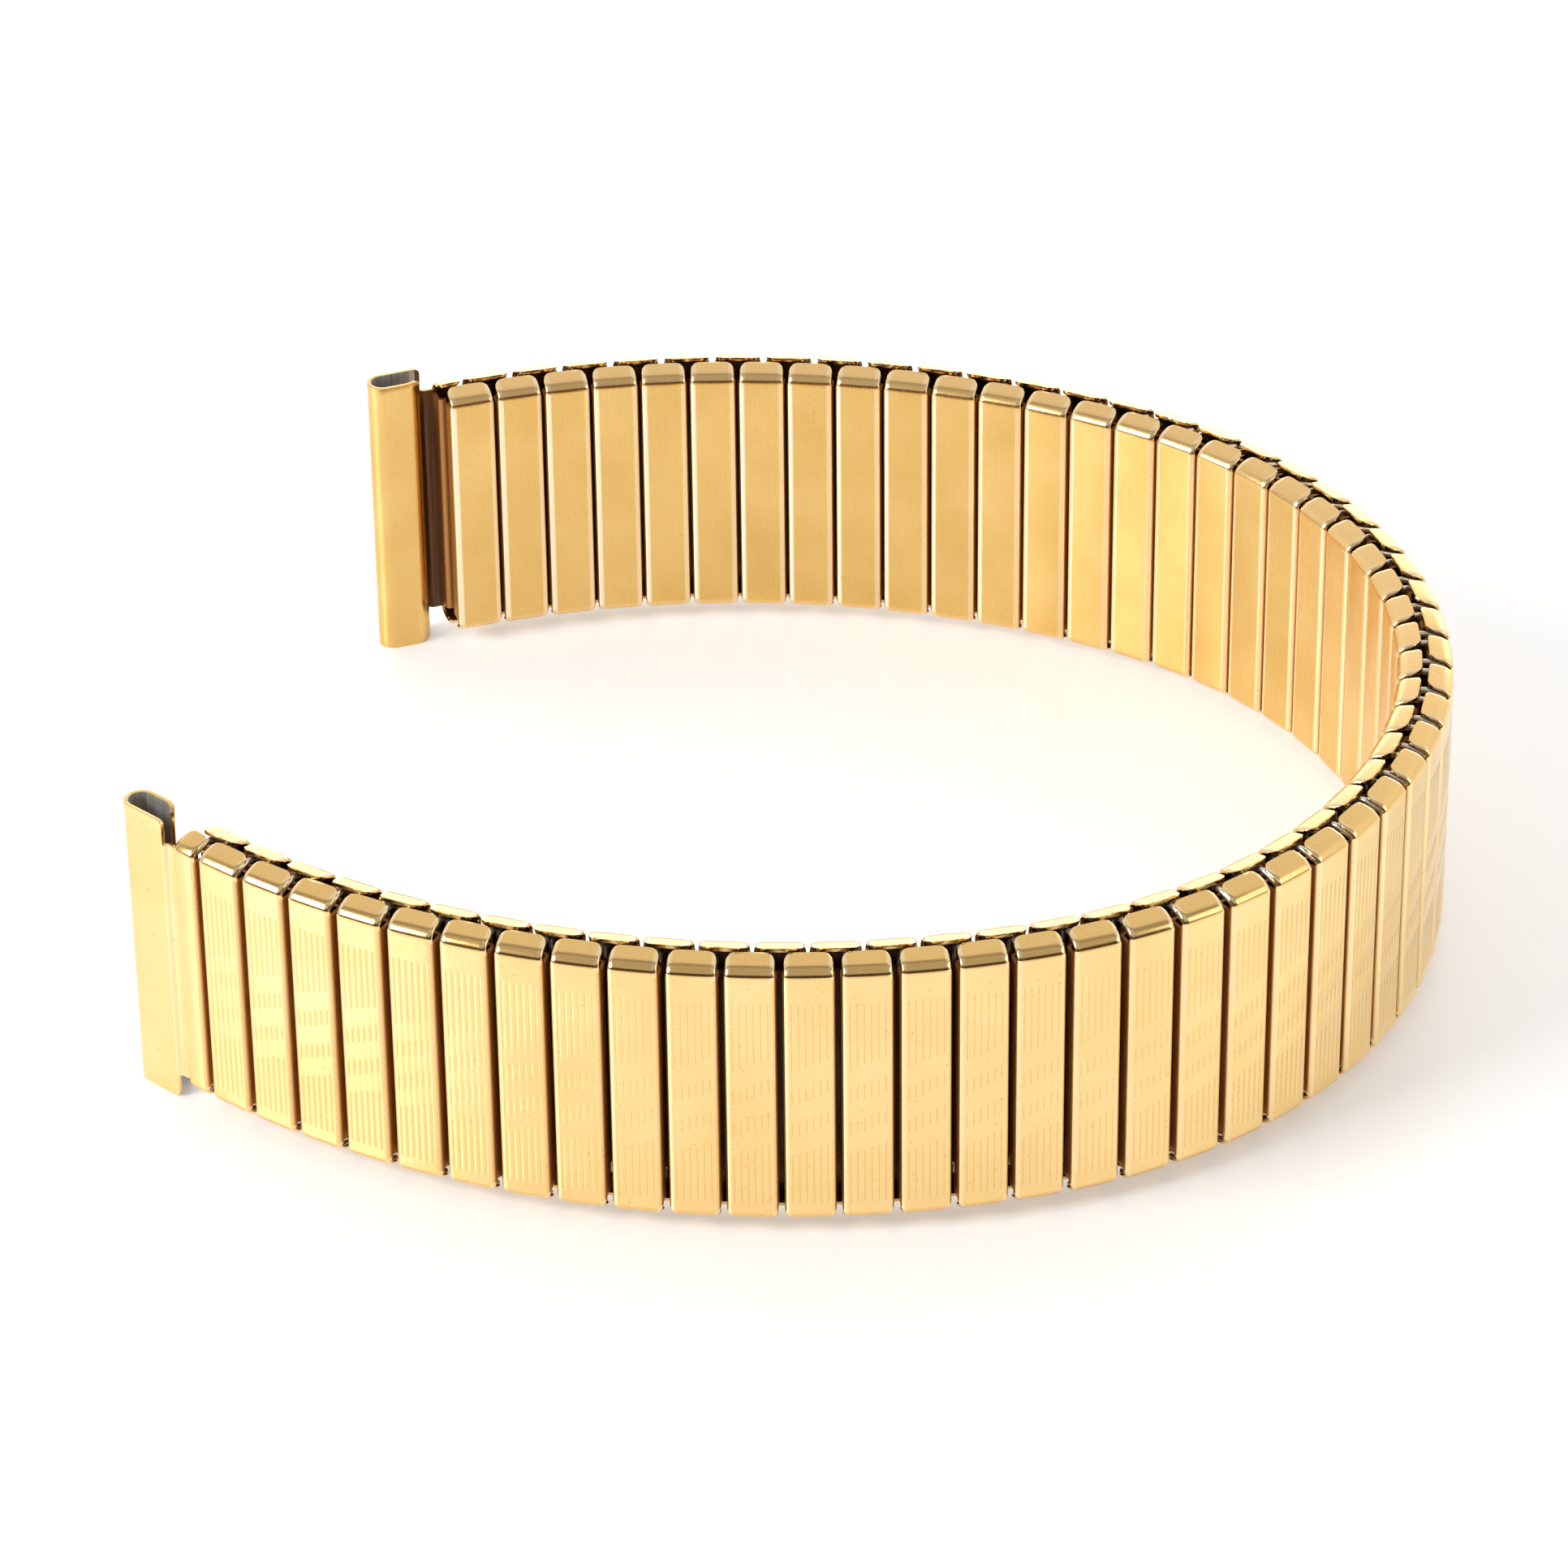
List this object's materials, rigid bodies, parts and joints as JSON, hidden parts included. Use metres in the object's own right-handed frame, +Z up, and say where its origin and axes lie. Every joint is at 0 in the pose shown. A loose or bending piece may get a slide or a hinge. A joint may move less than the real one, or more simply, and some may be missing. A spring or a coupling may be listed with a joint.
{
  "type": "expansion watch band",
  "caption": "Metal expansion watch band of overlapping spring-loaded sleeve links, standing on edge as an open C, with a rolled spring-bar tube at each end.",
  "frame": {"origin": "under the middle of the band's outline, on the surface that it stands on", "axes": "+Z up across the band's width, the open side of the C towards -X, the two ends at -Y (front) and +Y (back)"},
  "size_m": [0.0706, 0.0664, 0.018],
  "materials": {
    "gold_plate": "satin gold plating over stainless steel",
    "bare_steel": "bare stainless wire and strip"
  },
  "bodies": {
    "links_01": {"outer_links_01": "gold_plate", "inner_links_01": "gold_plate", "leaf_springs_01": "bare_steel", "connecting_bows_01": "bare_steel"},
    "links_02": {"outer_links_02": "gold_plate", "inner_links_02": "gold_plate", "leaf_springs_02": "bare_steel", "connecting_bows_02": "bare_steel"},
    "links_03": {"outer_links_03": "gold_plate", "inner_links_03": "gold_plate", "leaf_springs_03": "bare_steel", "connecting_bows_03": "bare_steel"},
    "links_04": {"outer_links_04": "gold_plate", "inner_links_04": "gold_plate", "leaf_springs_04": "bare_steel", "connecting_bows_04": "bare_steel"},
    "links_05": {"outer_links_05": "gold_plate", "inner_links_05": "gold_plate", "leaf_springs_05": "bare_steel", "connecting_bows_05": "bare_steel"},
    "links_06": {"outer_links_06": "gold_plate", "inner_links_06": "gold_plate", "leaf_springs_06": "bare_steel", "connecting_bows_06": "bare_steel"},
    "links_07": {"outer_links_07": "gold_plate", "inner_links_07": "gold_plate", "leaf_springs_07": "bare_steel", "connecting_bows_07": "bare_steel"},
    "links_08": {"outer_links_08": "gold_plate", "inner_links_08": "gold_plate", "leaf_springs_08": "bare_steel", "connecting_bows_08": "bare_steel"},
    "links_09": {"outer_links_09": "gold_plate", "inner_links_09": "gold_plate", "leaf_springs_09": "bare_steel", "connecting_bows_09": "bare_steel"},
    "links_10": {"outer_links_10": "gold_plate", "inner_links_10": "gold_plate", "leaf_springs_10": "bare_steel", "connecting_bows_10": "bare_steel"},
    "links_11": {"outer_links_11": "gold_plate", "inner_links_11": "gold_plate", "leaf_springs_11": "bare_steel", "connecting_bows_11": "bare_steel"},
    "bows_01": {"pivot_bows_01": "bare_steel"},
    "bows_02": {"pivot_bows_02": "bare_steel"},
    "bows_03": {"pivot_bows_03": "bare_steel"},
    "bows_04": {"pivot_bows_04": "bare_steel"},
    "bows_05": {"pivot_bows_05": "bare_steel"},
    "bows_06": {"pivot_bows_06": "bare_steel"},
    "bows_07": {"pivot_bows_07": "bare_steel"},
    "bows_08": {"pivot_bows_08": "bare_steel"},
    "bows_09": {"pivot_bows_09": "bare_steel"},
    "bows_10": {"pivot_bows_10": "bare_steel"},
    "bows_11": {"pivot_bows_11": "bare_steel"},
    "bows_12": {"pivot_bows_12": "bare_steel"},
    "back_end": {"end_piece_back": "gold_plate"},
    "front_end": {"end_piece_front": "gold_plate"}
  },
  "joints": [
    {"name": "stretch_01", "type": "slide", "parent": "links_01", "child": "bows_01", "axis": [-0.9012, -0.4335, 0], "range_m": [0, 0.00048], "stiffness_N_per_m": 200},
    {"name": "flex_01", "type": "hinge", "parent": "bows_01", "child": "back_end", "pos_m": [-0.02571, 0.02758, 0.009], "axis": [0, 0, 1], "range_deg": [-9.75, 0.49]},
    {"name": "stretch_02", "type": "slide", "parent": "links_02", "child": "bows_02", "axis": [-0.9903, -0.1386, 0], "range_m": [0, 0.00048], "stiffness_N_per_m": 200},
    {"name": "flex_02", "type": "hinge", "parent": "bows_02", "child": "links_01", "pos_m": [-0.01112, 0.03217, 0.009], "axis": [0, 0, 1], "range_deg": [-16.84, 0.84]},
    {"name": "flex_03", "type": "hinge", "parent": "links_03", "child": "bows_03", "pos_m": [0.00223, 0.03238, 0.009], "axis": [0, 0, 1], "range_deg": [-16.84, 0.84]},
    {"name": "stretch_03", "type": "slide", "parent": "bows_03", "child": "links_02", "axis": [-0.9941, 0.1081, 0], "range_m": [0, 0.00048], "stiffness_N_per_m": 200},
    {"name": "flex_04", "type": "hinge", "parent": "links_04", "child": "bows_04", "pos_m": [0.01698, 0.02823, 0.009], "axis": [0, 0, 1], "range_deg": [-23.91, 1.2]},
    {"name": "stretch_04", "type": "slide", "parent": "bows_04", "child": "links_03", "axis": [-0.9128, 0.4085, 0], "range_m": [0, 0.00048], "stiffness_N_per_m": 200},
    {"name": "flex_05", "type": "hinge", "parent": "links_05", "child": "bows_05", "pos_m": [0.0289, 0.01842, 0.009], "axis": [0, 0, 1], "range_deg": [-28.65, 1.43]},
    {"name": "stretch_05", "type": "slide", "parent": "bows_05", "child": "links_04", "axis": [-0.6052, 0.7961, 0], "range_m": [0, 0.00048], "stiffness_N_per_m": 200},
    {"name": "flex_06", "type": "hinge", "parent": "links_06", "child": "bows_06", "pos_m": [0.03464, 0.0041, 0.009], "axis": [0, 0, 1], "range_deg": [-27.22, 1.36]},
    {"name": "stretch_06", "type": "slide", "parent": "bows_06", "child": "links_05", "axis": [-0.1494, 0.9888, 0], "range_m": [0, 0.00048], "stiffness_N_per_m": 200},
    {"name": "flex_07", "type": "hinge", "parent": "links_06", "child": "bows_07", "pos_m": [0.03321, -0.01016, 0.009], "axis": [0, 0, -1], "range_deg": [-27.22, 1.36]},
    {"name": "stretch_07", "type": "slide", "parent": "bows_07", "child": "links_07", "axis": [-0.3429, -0.9394, 0], "range_m": [0, 0.00048], "stiffness_N_per_m": 200},
    {"name": "flex_08", "type": "hinge", "parent": "links_07", "child": "bows_08", "pos_m": [0.02473, -0.02305, 0.009], "axis": [0, 0, -1], "range_deg": [-28.65, 1.43]},
    {"name": "stretch_08", "type": "slide", "parent": "bows_08", "child": "links_08", "axis": [-0.7513, -0.66, 0], "range_m": [0, 0.00048], "stiffness_N_per_m": 200},
    {"name": "flex_09", "type": "hinge", "parent": "links_08", "child": "bows_09", "pos_m": [0.01123, -0.03044, 0.009], "axis": [0, 0, -1], "range_deg": [-19.54, 0.98]},
    {"name": "stretch_09", "type": "slide", "parent": "bows_09", "child": "links_09", "axis": [-0.9571, -0.2897, 0], "range_m": [0, 0.00048], "stiffness_N_per_m": 200},
    {"name": "flex_10", "type": "hinge", "parent": "links_09", "child": "bows_10", "pos_m": [-0.0039, -0.03273, 0.009], "axis": [0, 0, -1], "range_deg": [-16.84, 0.84]},
    {"name": "stretch_10", "type": "slide", "parent": "bows_10", "child": "links_10", "axis": [-0.9999, 0.0154, 0], "range_m": [0, 0.00048], "stiffness_N_per_m": 200},
    {"name": "stretch_11", "type": "slide", "parent": "links_10", "child": "bows_11", "axis": [-0.9657, 0.2598, 0], "range_m": [0, 0.00048], "stiffness_N_per_m": 200},
    {"name": "flex_11", "type": "hinge", "parent": "bows_11", "child": "links_11", "pos_m": [-0.01712, -0.03088, 0.009], "axis": [0, 0, -1], "range_deg": [-16.84, 0.84]},
    {"name": "stretch_12", "type": "slide", "parent": "links_11", "child": "bows_12", "axis": [-0.8408, 0.5414, 0], "range_m": [0, 0.00048], "stiffness_N_per_m": 200},
    {"name": "flex_12", "type": "hinge", "parent": "bows_12", "child": "front_end", "pos_m": [-0.03104, -0.02452, 0.009], "axis": [0, 0, -1], "range_deg": [-9.75, 0.49]}
  ],
  "couplings": [
    {"joint": "flex_01", "follows": "flex_07", "ratio": 0.35811},
    {"joint": "stretch_01", "follows": "stretch_07", "ratio": 1},
    {"joint": "flex_02", "follows": "flex_07", "ratio": 0.61856},
    {"joint": "stretch_02", "follows": "stretch_07", "ratio": 1},
    {"joint": "flex_03", "follows": "flex_07", "ratio": 0.61856},
    {"joint": "stretch_03", "follows": "stretch_07", "ratio": 1},
    {"joint": "flex_04", "follows": "flex_07", "ratio": 0.87864},
    {"joint": "stretch_04", "follows": "stretch_07", "ratio": 1},
    {"joint": "flex_05", "follows": "flex_07", "ratio": 1.0526},
    {"joint": "stretch_05", "follows": "stretch_07", "ratio": 1},
    {"joint": "flex_06", "follows": "flex_07", "ratio": 1},
    {"joint": "stretch_06", "follows": "stretch_07", "ratio": 1},
    {"joint": "flex_08", "follows": "flex_07", "ratio": 1.0526},
    {"joint": "stretch_08", "follows": "stretch_07", "ratio": 1},
    {"joint": "flex_09", "follows": "flex_07", "ratio": 0.71803},
    {"joint": "stretch_09", "follows": "stretch_07", "ratio": 1},
    {"joint": "flex_10", "follows": "flex_07", "ratio": 0.61856},
    {"joint": "stretch_10", "follows": "stretch_07", "ratio": 1},
    {"joint": "flex_11", "follows": "flex_07", "ratio": 0.61856},
    {"joint": "stretch_11", "follows": "stretch_07", "ratio": 1},
    {"joint": "flex_12", "follows": "flex_07", "ratio": 0.35811},
    {"joint": "stretch_12", "follows": "stretch_07", "ratio": 1}
  ]
}
